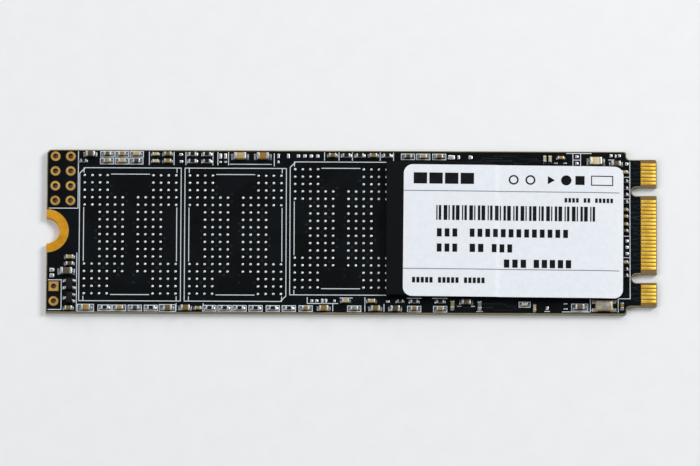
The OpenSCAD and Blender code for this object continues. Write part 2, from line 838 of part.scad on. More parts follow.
// End caps with eased outer top edges
module chip_ends(size) {
    ease = 0.12 * size[2];
    for (side = [0, 1])
        mirror([side, 0, 0])
            translate([size[0] / 2, 0, 0])
                rotate([90, 0, 0])
                    linear_extrude(height = size[1], center = true)
                        polygon([
                            [-cap_l(size), 0], [0, 0], [0, size[2] - ease],
                            [-ease, size[2]], [-cap_l(size), size[2]]
                        ]);
}

// White block of a resistor, under its black coat
resistor_coat_t = 0.05;
module resistor_block(size) {
    l = size[0] - 2 * cap_l(size);
    translate([-l / 2, -size[1] / 2 + cap_skin, cap_skin])
        cube([l, size[1] - 2 * cap_skin, size[2] - cap_skin - resistor_coat_t]);
}

module resistor_coat(size) {
    l = size[0] - 2 * cap_l(size);
    translate([-l / 2, -size[1] / 2 + cap_skin, size[2] - resistor_coat_t])
        cube([l, size[1] - 2 * cap_skin, resistor_coat_t]);
}

// Tinned pad under each end, with solder climbing the end cap in a hollow curve
module joints(size) {
    out = reach(size);
    rise = 0.6 * size[2];
    for (side = [0, 1])
        mirror([side, 0, 0])
            translate([size[0] / 2, 0, 0])
                rotate([90, 0, 0])
                    linear_extrude(height = size[1], center = true)
                        polygon([
                            [-cap_l(size), 0], [out, 0], [out, pad_t],
                            [0.6 * out, pad_t + 0.16 * rise],
                            [0.25 * out, pad_t + 0.5 * rise],
                            [0, pad_t + rise], [0, pad_t], [-cap_l(size), pad_t]
                        ]);
}

module at_chip(c, z) {
    translate([c[2], c[3], z])
        rotate([0, 0, c[4]])
            children();
}

// Height of a chip's underside
chip_z = board_t + pad_t;

module capacitor_bodies(finish) {
    for (c = chips)
        if (c[0] == finish)
            at_chip(c, chip_z)
                chip_body(c[1]);
}

module tan_capacitors() {
    color("#b58a52")
        capacitor_bodies("tan");
}

module orange_capacitors() {
    color("#b0712a")
        capacitor_bodies("orange");
}

module brown_capacitors() {
    color("#6b4a33")
        capacitor_bodies("brown");
}

module olive_capacitors() {
    color("#7d6f2e")
        capacitor_bodies("olive");
}

module grey_capacitors() {
    color("#6d6468")
        capacitor_bodies("grey");
}

module cream_capacitors() {
    color("#cdbb95")
        capacitor_bodies("cream");
}

module capacitor_ends() {
    color("#c8cac8")
    for (c = chips)
        if (c[0] != "resistor")
            at_chip(c, chip_z)
                chip_ends(c[1]);
}

module resistor_blocks() {
    color("#dedcd4")
    for (c = chips)
        if (c[0] == "resistor")
            at_chip(c, chip_z)
                resistor_block(c[1]);
}

module resistor_coats() {
    color("#15171a")
    for (c = chips)
        if (c[0] == "resistor")
            at_chip(c, chip_z)
                resistor_coat(c[1]);
}

module resistor_ends() {
    color("#c8cac8")
    for (c = chips)
        if (c[0] == "resistor")
            at_chip(c, chip_z)
                chip_ends(c[1]);
}

module cream_block() {
    color("#cdbb95")
    translate([block_place[0], block_place[1], chip_z])
        chip_body(block_size);
}

module cream_block_ends() {
    color("#d8d2c0")
    translate([block_place[0], block_place[1], chip_z])
        chip_ends(block_size);
}

// Coil with its end caps, under the label
module power_coil() {
    color("#3a3c3f")
    translate([coil_place[0], coil_place[1], chip_z])
        chip_body(coil_size);
}

module coil_ends() {
    color("#c8cac8")
    translate([coil_place[0], coil_place[1], chip_z])
        chip_ends(coil_size);
}

// Flat regulator on two rows of small pads
regulator_pad = [0.4, 0.25];
module regulator() {
    color("#1d2023")
    translate([regulator_place[0], regulator_place[1], chip_z])
        package(regulator_l, regulator_l, regulator_h);
}

module regulator_pads() {
    color("#c8cac8")
    for (side = [-1, 1])
        for (i = [-1.5 : 1.5])
            translate([
                regulator_place[0] + side * regulator_l / 2 - regulator_pad[0] / 2,
                regulator_place[1] + i * 0.5 - regulator_pad[1] / 2,
                board_t
            ])
                cube([regulator_pad[0], regulator_pad[1], pad_t]);
}

// Crystal: its ceramic base leaves the four corners free for the metal corner pieces
corner_piece = [0.35, 0.3];
module at_crystal() {
    translate([crystal_place[0], crystal_place[1], chip_z])
        children();
}

module crystal_base() {
    color("#8a7a5c")
    at_crystal()
    linear_extrude(height = crystal_h)
        union() {
            square([crystal_l, crystal_w - 2 * corner_piece[1]], center = true);
            square([crystal_l - 2 * corner_piece[0], crystal_w], center = true);
        }
}

module crystal_corner(x, y) {
    linear_extrude(height = crystal_h)
        translate([
            x * (crystal_l / 2 - corner_piece[0] / 2),
            y * (crystal_w / 2 - corner_piece[1] / 2)
        ])
            square(corner_piece, center = true);
}

module crystal_corners() {
    color("#c79a3c")
    at_crystal()
        for (x = [-1, 1])
            for (y = [-1, 1])
                crystal_corner(x, y);
}

module crystal_lid() {
    l = crystal_l - 2 * lid_margin;
    w = crystal_w - 2 * lid_margin;
    color("#c9c3b4")
    at_crystal()
    translate([0, 0, crystal_h])
        package(l, w, lid_t);
}

// Small black transistors: the switch has two leads a side, the triode has one and two
lead_t = 0.1;
lead_w = 0.3;
lead_out = 0.38;
lead_z = 0.22;
switch_leads = [[-1, -0.48], [-1, 0.48], [1, -0.48], [1, 0.48]];
triode_leads = [[-1, 0], [1, -0.42], [1, 0.42]];

// Body with sides that draw in above and below the leads
module transistor_body(size) {
    draft = 0.06;
    half = size[0] / 2;
    mid = lead_z + lead_t / 2;
    rotate([90, 0, 0])
        linear_extrude(height = size[1], center = true)
            polygon([
                [-half + draft, 0.05], [half - draft, 0.05], [half, mid],
                [half - draft, size[2]], [-half + draft, size[2]], [-half, mid]
            ]);
}

// Flat lead that bends down to its foot
module lead(size) {
    start = size[0] / 2 - 0.02;
    translate([start, 0, 0])
        rotate([90, 0, 0])
            linear_extrude(height = lead_w, center = true)
                polygon([
                    [0, lead_z], [0.08, lead_z], [0.14, 0], [lead_out, 0],
                    [lead_out, lead_t], [0.22, lead_t], [0.16, lead_z + lead_t], [0, lead_z + lead_t]
                ]);
}

module leads(size, places) {
    difference() {
        for (p = places)
            translate([0, p[1], 0])
                mirror([p[0] < 0 ? 1 : 0, 0, 0])
                    lead(size);
        transistor_body(size);
    }
}

module transistor_bodies() {
    color("#17191b") {
        translate([switch_place[0], switch_place[1], chip_z])
            transistor_body(switch_size);
        translate([triode_place[0], triode_place[1], chip_z])
            transistor_body(triode_size);
    }
}

module transistor_leads() {
    color("#c8cac8") {
        translate([switch_place[0], switch_place[1], chip_z])
            leads(switch_size, switch_leads);
        translate([triode_place[0], triode_place[1], chip_z])
            leads(triode_size, triode_leads);
    }
}

// Pads under the feet of a transistor
foot_reach = 0.46;
foot_inner = 0.02;
module foot_pads(size, places) {
    for (p = places)
        translate([p[0] * (size[0] + foot_reach + foot_inner) / 2, p[1], pad_t / 2])
            cube([foot_reach - foot_inner, 0.4, pad_t], center = true);
}

// Pads that carry the crystal's corners and reach past them
crystal_reach = 0.45;
crystal_side = 0.1;
module crystal_joints() {
    for (x = [-1, 1])
        for (y = [-1, 1])
            translate([
                x * (crystal_l / 2 + crystal_reach - 0.4),
                y * (crystal_w / 2 + crystal_side - 0.25),
                pad_t / 2
            ])
                cube([0.8, 0.5, pad_t], center = true);
}

module solder_joints() {
    color("#dfe1e0") {
        for (c = chips)
            at_chip(c, board_t)
                joints(c[1]);
        translate([block_place[0], block_place[1], board_t])
            joints(block_size);
        translate([coil_place[0], coil_place[1], board_t])
            joints(coil_size);
        translate([crystal_place[0], crystal_place[1], board_t])
            crystal_joints();
        translate([switch_place[0], switch_place[1], board_t])
            foot_pads(switch_size, switch_leads);
        translate([triode_place[0], triode_place[1], board_t])
            foot_pads(triode_size, triode_leads);
    }
}

// Empty pad with sloping ends
module bare_pad(l, w) {
    h = 1.5 * pad_t;
    rotate([90, 0, 0])
        linear_extrude(height = w, center = true)
            polygon([[-l / 2, 0], [l / 2, 0], [l / 2 - h, h], [-l / 2 + h, h]]);
}

module bare_pads() {
    color("#dfe1e0")
    for (p = pads)
        translate([p[0], p[1], board_t])
            bare_pad(p[2], p[3]);
}

// Height of the label's underside: it lies on both packages, slopes between them and
// droops past the controller.
slope_start = memory_x + memory_l / 2 + 0.15;
slope_end = slope_start + package_gap - 0.3;
droop_start = controller_x + controller_l / 2 + 0.15;
label_end = label_x + label_l / 2;
steps = 8;
function eased(t) = t * t * (3 - 2 * t);
function label_z(x) =
    x <= slope_start ? memory_top :
    x < slope_end ? memory_top
        + (controller_top - memory_top) * eased((x - slope_start) / (slope_end - slope_start)) :
    x <= droop_start ? controller_top :
    controller_top - label_droop * pow((x - droop_start) / (label_end - droop_start), 2);
label_stations = concat(
    [label_x - label_l],
    [for (i = [0 : steps]) slope_start + i * (slope_end - slope_start) / steps],
    [for (i = [0 : steps]) droop_start + i * (label_end + cut - droop_start) / steps]
);

// Sheet that follows the label's height, from low to high above its underside
module label_sheet(low, high) {
    under = [for (x = label_stations) [x, label_z(x) + low]];
    over = [for (i = [len(label_stations) - 1 : -1 : 0])
        [label_stations[i], label_z(label_stations[i]) + high]];
    rotate([90, 0, 0])
        linear_extrude(height = 2 * board_w, center = true)
            polygon(concat(under, over));
}

// Flat drawing laid on the label, with its middle on the label's middle
module on_label(low, high) {
    intersection() {
        label_sheet(low, high);
        translate([label_x, label_y, 0])
            rotate([0, 0, -label_turn])
                linear_extrude(height = memory_top + controller_top)
                    children();
    }
}

module label() {
    color("#e6e9f1")
    on_label(0, label_t)
        union() {
            square([label_l - 2 * label_r, label_w], center = true);
            square([label_l, label_w - 2 * label_r], center = true);
            for (x = [-1, 1])
                for (y = [-1, 1])
                    translate([x * (label_l / 2 - label_r), y * (label_w / 2 - label_r)])
                        circle(r = label_r);
        }
}

// Print is placed from the label's left edge and from its upper or lower edge
label_left = -label_l / 2;
label_upper = label_w / 2;
label_lower = -label_w / 2;

module label_rules() {
    color("#8f9499")
    on_label(label_t, label_t + ink_t) {
        translate([label_left, label_upper - 3.6])
            square([label_l - 0.5, line_w]);
        translate([label_left, label_lower + 3.65])
            square([label_l - 0.5, line_w]);
    }
}

// Bars of varied width and spacing, from a repeating rule
bar_count = 38;
bar_unit = 0.16;
function bar_width(i) = bar_unit * (1 + (i * 7 + 3) % 3);
function bar_step(i) = bar_unit * (1 + (i * 5 + 2) % 2);
function bar_start(i) = i == 0 ? 0 : bar_start(i - 1) + bar_width(i - 1) + bar_step(i - 1);
module label_bars() {
    color("#1b1c20")
    on_label(label_t, label_t + ink_t)
        for (i = [0 : bar_count - 1])
            translate([label_left + 4.3 + bar_start(i), label_upper - 7.5])
                square([bar_width(i), 2]);
}

// Rows of plain blocks: from the left, from the upper edge, count, block size, step
large_block = [1.75, 1.5];
middle_block = [0.62, 1.1];
wide_block = [0.7, 1.1];
small_block = [0.4, 0.75];
tiny_block = [0.34, 0.6];
block_rows = [
    [1.3, 2.6, 4, large_block, 2.05],
    [21.1, 4.95, 4, tiny_block, 0.5],
    [23.6, 4.95, 2, tiny_block, 0.5],
    [25.1, 4.95, 5, tiny_block, 0.5],
    [4.4, 9.75, 3, middle_block, 1.02],
    [8.7, 9.75, 13, middle_block, 1.02],
    [4.4, 11.8, 3, middle_block, 1.02],
    [8.7, 11.8, 2, wide_block, 1.1],
    [11.6, 11.8, 3, middle_block, 1.02],
    [13.2, 13.85, 3, wide_block, 1.1],
    [17.1, 13.85, 5, wide_block, 1.05],
    [1.2, 16, 5, small_block, 0.57],
    [4.6, 16, 5, small_block, 0.57],
    [8, 16, 5, small_block, 0.57]
];
module label_blocks() {
    color("#1b1c20")
    on_label(label_t, label_t + ink_t)
        for (r = block_rows)
            for (i = [0 : r[2] - 1])
                translate([label_left + r[0] + i * r[4], label_upper - r[1]])
                    square(r[3]);
}

// Row of plain figures near the upper edge
module label_marks() {
    color("#1b1c20")
    on_label(label_t, label_t + ink_t)
    translate([label_left, label_upper - 1.95]) {
        for (x = [14.4, 16.6])
            translate([x, 0])
                ring(0.65, 0.2);
        translate([19.2, 0])
            circle(r = 0.62, $fn = 3);
        translate([21.3, 0])
            circle(r = 0.68);
        translate([23.1, 0])
            square(1.2, center = true);
        translate([26, 0])
            difference() {
                square([2.9, 1.35], center = true);
                square([2.65, 1.1], center = true);
            }
    }
}

module ring(r, t) {
    difference() {
        circle(r = r);
        circle(r = r - t);
    }
}

board_core();
mask_top();
mask_bottom();
contacts_top();
contacts_bottom();
notch_plating();
header_holes();
jumper_holes();
site_frames();
part_legend();
site_lands();
memory_package();
memory_balls();
controller_package();
controller_balls();
power_coil();
coil_ends();
regulator();
regulator_pads();
tan_capacitors();
orange_capacitors();
brown_capacitors();
olive_capacitors();
grey_capacitors();
cream_capacitors();
capacitor_ends();
resistor_blocks();
resistor_coats();
resistor_ends();
cream_block();
cream_block_ends();
crystal_base();
crystal_lid();
crystal_corners();
transistor_bodies();
transistor_leads();
solder_joints();
bare_pads();
label();
label_rules();
label_bars();
label_blocks();
label_marks();
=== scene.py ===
# Gumstick solid state drive, label up on a plain pale floor, seen from above the near long edge.
import math

import bpy
from mathutils import Matrix, Vector


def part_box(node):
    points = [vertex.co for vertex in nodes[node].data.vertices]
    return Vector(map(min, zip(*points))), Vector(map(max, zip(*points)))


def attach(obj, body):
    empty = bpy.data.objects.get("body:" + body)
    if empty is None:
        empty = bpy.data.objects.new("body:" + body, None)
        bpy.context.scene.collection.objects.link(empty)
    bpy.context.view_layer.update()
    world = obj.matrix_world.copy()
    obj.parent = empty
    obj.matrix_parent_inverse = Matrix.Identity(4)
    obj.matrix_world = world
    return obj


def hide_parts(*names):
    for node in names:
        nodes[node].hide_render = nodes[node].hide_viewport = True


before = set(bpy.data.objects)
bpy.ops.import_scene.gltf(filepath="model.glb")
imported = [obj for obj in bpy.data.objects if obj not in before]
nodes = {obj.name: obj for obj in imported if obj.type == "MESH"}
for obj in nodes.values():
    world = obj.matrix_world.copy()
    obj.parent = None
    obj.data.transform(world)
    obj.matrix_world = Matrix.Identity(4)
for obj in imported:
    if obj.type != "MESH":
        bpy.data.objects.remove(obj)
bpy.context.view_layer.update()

MM = 0.001
ROOT = "root"


def mm(metres):
    """Size in the frame as millimetres, without the noise of its last digits."""
    return round(metres / MM, 3)


# Levels and ends of the board in millimetres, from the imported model: the plane that parts
# stand on, the metal of a pad above it, the mounting end, and the end of the mask
BOARD_TOP = mm(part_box("mask_top")[1].z)
PAD_T = mm(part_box("regulator_pads")[1].z - BOARD_TOP * MM)
MOUNT_END = mm(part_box("board_core")[0].x)
MASK_END = mm(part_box("mask_top")[1].x)

# Rise of the mask where copper lies under it, and width of the swell over a via
MASK_RISE = 0.014
VIA_W = 0.3

# Edges that turn by more than this many degrees stay sharp, on cut parts and on round ones
CUT_ANGLE = 40
ROUND_ANGLE = 60


# Camera, floor and light

def place_camera():
    """Long lens almost straight above the board, leaning towards the near long edge."""
    place = [distance * MM for distance in (-4.05, -375.8, 1452.2)]
    turn = [math.radians(angle) for angle in (14.51, -0.2, 0.19)]
    bpy.ops.object.camera_add(location=place, rotation=turn)
    camera = bpy.context.object
    camera.data.sensor_width = 36
    camera.data.lens = 588.4
    camera.data.clip_start = 0.01
    camera.data.clip_end = 10
    bpy.context.scene.camera = camera


def lay_floor():
    """Large plain sheet, just clear of the lines that rise in the lower mask."""
    side = 4
    gap = 0.02 * MM
    bpy.ops.mesh.primitive_plane_add(size=side, location=(0, 0, -gap))
    floor = bpy.context.object
    floor.name = "floor"
    bpy.ops.object.transform_apply(location=True, rotation=True, scale=True)
    return floor


def hang_lamp(name, place, side, power):
    """Square soft box that faces the middle of the board, in metres and watts."""
    bpy.ops.object.light_add(type="AREA", location=place)
    lamp = bpy.context.object
    lamp.name = name
    lamp.data.shape = "SQUARE"
    lamp.data.size = side
    lamp.data.energy = power
    lamp.rotation_euler = Vector(place).to_track_quat("Z", "Y").to_euler()
    lamp.visible_camera = False


def light_room():
    """Faint cool light from all round, as from the walls of a studio."""
    world = bpy.context.scene.world or bpy.data.worlds.new("studio")
    bpy.context.scene.world = world
    world.use_nodes = True
    walls = world.node_tree.nodes["Background"].inputs
    walls["Color"].default_value = (0.94, 0.97, 1, 1)
    walls["Strength"].default_value = 0.34


place_camera()
floor = lay_floor()
hang_lamp("key_box", (0.42, 0.22, 0.42), side=0.26, power=2.6)
hang_lamp("fill_box", (-0.40, -0.16, 0.42), side=0.40, power=1.1)
hang_lamp("back_box", (-0.10, 0.46, 0.34), side=0.34, power=0.9)
light_room()
bpy.context.scene.view_settings.view_transform = "Standard"


# Materials

def linear(code):
    """Linear colour of an sRGB hex value."""
    shares = [int(code[i:i + 2], 16) / 255 for i in (1, 3, 5)]
    return tuple(
        s / 12.92 if s <= 0.04045 else ((s + 0.055) / 1.055) ** 2.4 for s in shares
    ) + (1.0,)


def per(size):
    """Scale of a pattern whose features are this many millimetres apart."""
    return 1 / (size * MM)


# A wave texture turns once every 2 pi / 20 of its scaled length
WAVE_TURN = 2 * math.pi / 20


def add(material, kind, settings=None, links=None):
    """Adds a node with its settings and links. A setting is an input's value, a list of
    colour stops, or a property of the node."""
    tree = material.node_tree
    node = tree.nodes.new("ShaderNode" + kind)
    for key, value in (settings or {}).items():
        if key == "stops":
            ramp = node.color_ramp
            while len(ramp.elements) < len(value):
                ramp.elements.new(0.5)
            for element, (position, code) in zip(ramp.elements, value):
                element.position = position
                element.color = linear(code)
        elif isinstance(key, int) or key in node.inputs.keys():
            node.inputs[key].default_value = value
        else:
            setattr(node, key, value)
    for key, source in (links or {}).items():
        tree.links.new(source, node.inputs[key])
    return node


def begin(name, settings):
    """New material, its shader with these settings, and the place on the object."""
    material = bpy.data.materials.new(name)
    material.use_nodes = True
    material.node_tree.nodes.clear()
    shader = add(material, "BsdfPrincipled", settings)
    add(material, "OutputMaterial", links={"Surface": shader.outputs["BSDF"]})
    place = add(material, "TexCoord").outputs["Object"]
    return material, shader, place


def dress(material, shader, colour, grain, roughness, depth, strength, height=None):
    """Finishes a surface: its colour, a roughness that follows the grain between two
    values, and a relief this many millimetres deep, from the grain or its own height."""
    # Noise seldom leaves the middle of its range, so that part is spread out
    spread = add(
        material, "MapRange",
        {"From Min": 0.3, "From Max": 0.7, "To Min": roughness[0], "To Max": roughness[1]},
        {"Value": grain},
    )
    bump = add(
        material, "Bump", {"Distance": depth * MM, "Strength": strength},
        {"Height": height or grain},
    )
    links = material.node_tree.links
    links.new(colour, shader.inputs["Base Color"])
    links.new(spread.outputs["Result"], shader.inputs["Roughness"])
    links.new(bump.outputs["Normal"], shader.inputs["Normal"])
    return material


def solder_mask(name, dark, light):
    """Black epoxy solder mask, screened and cured: glossy, with the soft orange peel of the
    screen and a slightly paler black where copper lies under it."""
    material, shader, place = begin(name, {"IOR": 1.42, "Specular IOR Level": 0.14})
    pours = add(
        material, "TexNoise", {"Scale": per(5), "Detail": 1.5, "Roughness": 0.4},
        {"Vector": place},
    )
    colour = add(
        material, "ValToRGB", {"stops": [(0.46, dark), (0.54, light)]},
        {"Fac": pours.outputs["Fac"]},
    )
    peel = add(
        material, "TexNoise", {"Scale": per(0.45), "Detail": 3, "Roughness": 0.5},
        {"Vector": place},
    )
    return dress(
        material, shader, colour.outputs["Color"], peel.outputs["Fac"], (0.3, 0.42), 0.004, 0.6
    )


def glass_laminate():
    """Glass cloth in epoxy, routed to shape: pale straw yellow with bundles of glass and
    thin lines of the inner layers at the edge, and gold plating on the notch's wall."""
    material, shader, place = begin("glass_epoxy_laminate", {"IOR": 1.55})
    layers = add(
        material, "TexWave",
        {"wave_type": "BANDS", "bands_direction": "Z", "Scale": WAVE_TURN * per(0.13),
         "Distortion": 1.6, "Detail": 2, "Detail Scale": 0.08},
        {"Vector": place},
    )
    bundles = add(
        material, "TexNoise", {"Scale": per(0.16), "Detail": 4, "Roughness": 0.65},
        {"Vector": place},
    )
    tones = add(
        material, "ValToRGB",
        {"stops": [(0.25, "#756F55"), (0.5, "#8E896D"), (0.75, "#A5A187")]},
        {"Fac": bundles.outputs["Fac"]},
    )
    lines = add(
        material, "ValToRGB", {"stops": [(0.1, "#B59A66"), (0.3, "#FFFFFF")]},
        {"Fac": layers.outputs["Fac"]},
    )
    edge = add(
        material, "Mix", {"data_type": "RGBA", "blend_type": "MULTIPLY", 0: 0.7},
        {6: tones.outputs["Color"], 7: lines.outputs["Color"]},
    )
    # Bare of mask beside the contacts, the skin of epoxy is a darker honey. It starts a
    # little under the mask and reaches a little way down the board's sides
    mask_lap = 0.05
    skin_depth = 0.05
    spot = add(material, "SeparateXYZ", links={"Vector": place})
    tongue = add(
        material, "Math", {"operation": "GREATER_THAN", 1: (MASK_END - mask_lap) * MM},
        {0: spot.outputs["X"]},
    )
    side = add(
        material, "Math",
        {"operation": "COMPARE", 1: BOARD_TOP / 2 * MM, 2: (BOARD_TOP / 2 - skin_depth) * MM},
        {0: spot.outputs["Z"]},
    )
    bare = add(
        material, "Math", {"operation": "SUBTRACT", "use_clamp": True},
        {0: tongue.outputs["Value"], 1: side.outputs["Value"]},
    )
    skin = add(
        material, "Mix", {"data_type": "RGBA", 7: linear("#6E5420")},
        {0: bare.outputs["Value"], 6: edge.outputs[2]},
    )
    # The mounting notch's axis stands at the middle of the mounting end, and its wall is
    # all that lies within this radius of it
    wall_r = 1.78
    centred = add(
        material, "VectorMath", {"operation": "ADD", 1: (-MOUNT_END * MM, 0, 0)}, {0: place}
    )
    flat = add(
        material, "VectorMath", {"operation": "MULTIPLY", 1: (1, 1, 0)},
        {0: centred.outputs["Vector"]},
    )
    radius = add(
        material, "VectorMath", {"operation": "LENGTH"}, {0: flat.outputs["Vector"]}
    )
    wall = add(
        material, "Math", {"operation": "LESS_THAN", 1: wall_r * MM},
        {0: radius.outputs["Value"]},
    )
    plated = add(
        material, "Mix", {"data_type": "RGBA", 7: linear("#C8922A")},
        {0: wall.outputs["Value"], 6: skin.outputs[2]},
    )
    material.node_tree.links.new(wall.outputs["Value"], shader.inputs["Metallic"])
    return dress(
        material, shader, plated.outputs[2], bundles.outputs["Fac"], (0.5, 0.72), 0.012, 1
    )


def gold_plating(name, dark, light, grain, depth, barrel_shade=None):
    """Gold over nickel over copper: satin, warm, with small changes of tone and gloss from
    the grain of the copper, drawn coarser than life so that it shows. The barrels of the holes,
    between their rings, may be painted darker and duller: partly the dull plating of the
    barrel, partly painted shade down the hole."""
    material, shader, place = begin(name, {"Metallic": 1.0})
    grains = add(
        material, "TexNoise", {"Scale": per(grain), "Detail": 4, "Roughness": 0.55},
        {"Vector": place},
    )
    clouds = add(
        material, "TexNoise", {"Scale": per(1.4), "Detail": 2, "Roughness": 0.5},
        {"Vector": place},
    )
    blend = add(
        material, "Math", {"operation": "MULTIPLY_ADD", 1: 0.5},
        {0: grains.outputs["Fac"], 2: clouds.outputs["Fac"]},
    )
    colour = add(
        material, "ValToRGB", {"stops": [(0.55, dark), (0.95, light)]},
        {"Fac": blend.outputs["Value"]},
    )
    tone = colour.outputs["Color"]
    # Between the rings the barrel gets a darker colour: painted shade down the hole, over
    # plating that is a little dull there
    if barrel_shade:
        ring_t = 0.02
        spot = add(material, "SeparateXYZ", links={"Vector": place})
        inside = add(
            material, "Math",
            {"operation": "COMPARE", 1: BOARD_TOP / 2 * MM, 2: (BOARD_TOP / 2 - ring_t) * MM},
            {0: spot.outputs["Z"]},
        )
        shaded = add(
            material, "Mix", {"data_type": "RGBA", 7: linear(barrel_shade)},
            {0: inside.outputs["Value"], 6: tone},
        )
        tone = shaded.outputs[2]
    return dress(material, shader, tone, grains.outputs["Fac"], (0.42, 0.58), depth, 0.7)


def finger_gold():
    """Hard gold on the card edge: brighter than the soft gold, with fine scratches along
    the board from the socket's springs."""
    material, shader, place = begin("hard_gold", {"Metallic": 1.0})
    # Scratches 0.03 mm apart and forty times as long
    drawn = add(
        material, "Mapping", {"Scale": (0.025, 1, 1)}, {"Vector": place}
    )
    scratches = add(
        material, "TexNoise", {"Scale": per(0.03), "Detail": 2, "Roughness": 0.5},
        {"Vector": drawn.outputs["Vector"]},
    )
    clouds = add(
        material, "TexNoise", {"Scale": per(0.9), "Detail": 3, "Roughness": 0.55},
        {"Vector": place},
    )
    colour = add(
        material, "ValToRGB",
        {"stops": [(0.3, "#E0AC38"), (0.5, "#EFC24A"), (0.72, "#F6D268")]},
        {"Fac": clouds.outputs["Fac"]},
    )
    return dress(
        material, shader, colour.outputs["Color"], scratches.outputs["Fac"], (0.36, 0.52),
        0.002, 0.6,
    )


def tin(name, dark, light, roughness, grain, depth=0.004):
    """Tin, tin solder or nickel: bright grey metal, clouded, with a frosted grain where it
    froze or was plated, drawn coarser than life so that it shows."""
    material, shader, place = begin(name, {"Metallic": 1.0})
    frost = add(
        material, "TexVoronoi", {"Scale": per(grain), "Randomness": 1.0}, {"Vector": place}
    )
    clouds = add(
        material, "TexNoise", {"Scale": per(0.5), "Detail": 3, "Roughness": 0.6},
        {"Vector": place},
    )
    colour = add(
        material, "ValToRGB", {"stops": [(0.3, dark), (0.65, light)]},
        {"Fac": clouds.outputs["Fac"]},
    )
    return dress(
        material, shader, colour.outputs["Color"], clouds.outputs["Fac"], roughness, depth,
        0.5, frost.outputs["Distance"],
    )


def screened_ink(name, dark, light):
    """White epoxy ink, printed through a screen of 0.12 mm mesh: matt, a little thin here
    and there."""
    material, shader, place = begin(name, {"IOR": 1.5})
    mesh = add(
        material, "TexNoise", {"Scale": per(0.12), "Detail": 3, "Roughness": 0.6},
        {"Vector": place},
    )
    colour = add(
        material, "ValToRGB", {"stops": [(0.3, dark), (0.5, light)]},
        {"Fac": mesh.outputs["Fac"]},
    )
    return dress(
        material, shader, colour.outputs["Color"], mesh.outputs["Fac"], (0.5, 0.7), 0.005, 1
    )


def mould_compound(name, dark, light, roughness, gloss=0.5):
    """Epoxy moulding compound full of fine silica, and the black glaze and ferrite that look
    like it: charcoal, satin, with a sandy grain drawn a little coarser than life."""
    material, shader, place = begin(name, {"IOR": 1.5, "Specular IOR Level": gloss})
    silica = add(
        material, "TexNoise", {"Scale": per(0.09), "Detail": 3, "Roughness": 0.7},
        {"Vector": place},
    )
    colour = add(
        material, "ValToRGB", {"stops": [(0.35, dark), (0.7, light)]},
        {"Fac": silica.outputs["Fac"]},
    )
    return dress(
        material, shader, colour.outputs["Color"], silica.outputs["Fac"], roughness, 0.006, 0.8
    )


def fired_ceramic(name, dark, middle, light):
    """Fired ceramic of chip parts: dense and satin, each chip of its own shade from its own
    batch, with a mottle drawn coarser than its grain so that it shows."""
    material, shader, place = begin(name, {"IOR": 1.7, "Specular IOR Level": 0.3})
    # Chips stand 2 to 3 mm apart, so a slow pattern gives each its own shade
    batch = add(
        material, "TexNoise", {"Scale": per(2.4), "Detail": 0.5, "Roughness": 0.4},
        {"Vector": place},
    )
    mottle = add(
        material, "TexNoise", {"Scale": per(0.11), "Detail": 3, "Roughness": 0.65},
        {"Vector": place},
    )
    tone = add(
        material, "Math", {"operation": "MULTIPLY_ADD", 1: 0.35},
        {0: mottle.outputs["Fac"], 2: batch.outputs["Fac"]},
    )
    colour = add(
        material, "ValToRGB", {"stops": [(0.48, dark), (0.66, middle), (0.86, light)]},
        {"Fac": tone.outputs["Value"]},
    )
    return dress(
        material, shader, colour.outputs["Color"], mottle.outputs["Fac"], (0.32, 0.5), 0.004,
        0.6,
    )


def label_film():
    """Coated white polyester label: cool white and satin, with a faint mottle and a very
    shallow ripple where it bridges what lies under it."""
    material, shader, place = begin("coated_label_film", {"IOR": 1.46})
    mottle = add(
        material, "TexNoise", {"Scale": per(0.6), "Detail": 5, "Roughness": 0.6},
        {"Vector": place},
    )
    ripple = add(
        material, "TexNoise", {"Scale": per(6), "Detail": 1, "Roughness": 0.3},
        {"Vector": place},
    )
    colour = add(
        material, "ValToRGB",
        {"stops": [(0.3, "#DCDFE5"), (0.55, "#E0E3E9"), (0.8, "#E5E8EE")]},
        {"Fac": mottle.outputs["Fac"]},
    )
    height = add(
        material, "Math", {"operation": "MULTIPLY_ADD", 1: 0.04},
        {0: mottle.outputs["Fac"], 2: ripple.outputs["Fac"]},
    )
    return dress(
        material, shader, colour.outputs["Color"], mottle.outputs["Fac"], (0.38, 0.5), 0.05,
        0.8, height.outputs["Value"],
    )


def ribbon_ink(name, dark, light):
    """Resin ink from a thermal ribbon: dense, with slight streaks across the label."""
    material, shader, place = begin(name, {"IOR": 1.5, "Specular IOR Level": 0.14})
    # Streaks 0.1 mm apart and about eight times as long
    drawn = add(material, "Mapping", {"Scale": (1, 0.12, 1)}, {"Vector": place})
    streaks = add(
        material, "TexNoise", {"Scale": per(0.1), "Detail": 3, "Roughness": 0.6},
        {"Vector": drawn.outputs["Vector"]},
    )
    colour = add(
        material, "ValToRGB", {"stops": [(0.35, dark), (0.75, light)]},
        {"Fac": streaks.outputs["Fac"]},
    )
    return dress(
        material, shader, colour.outputs["Color"], streaks.outputs["Fac"], (0.35, 0.5), 0.002,
        0.5,
    )


def floor_sheet():
    """Plain pale paper sheet, almost white, with the faintest tooth."""
    material, shader, place = begin("pale_sheet", {"Roughness": 0.8})
    tooth = add(
        material, "TexNoise", {"Scale": per(3), "Detail": 3, "Roughness": 0.6},
        {"Vector": place},
    )
    colour = add(
        material, "ValToRGB", {"stops": [(0.35, "#E4E5E6"), (0.65, "#E6E7E8")]},
        {"Fac": tooth.outputs["Fac"]},
    )
    material.node_tree.links.new(colour.outputs["Color"], shader.inputs["Base Color"])
    return material


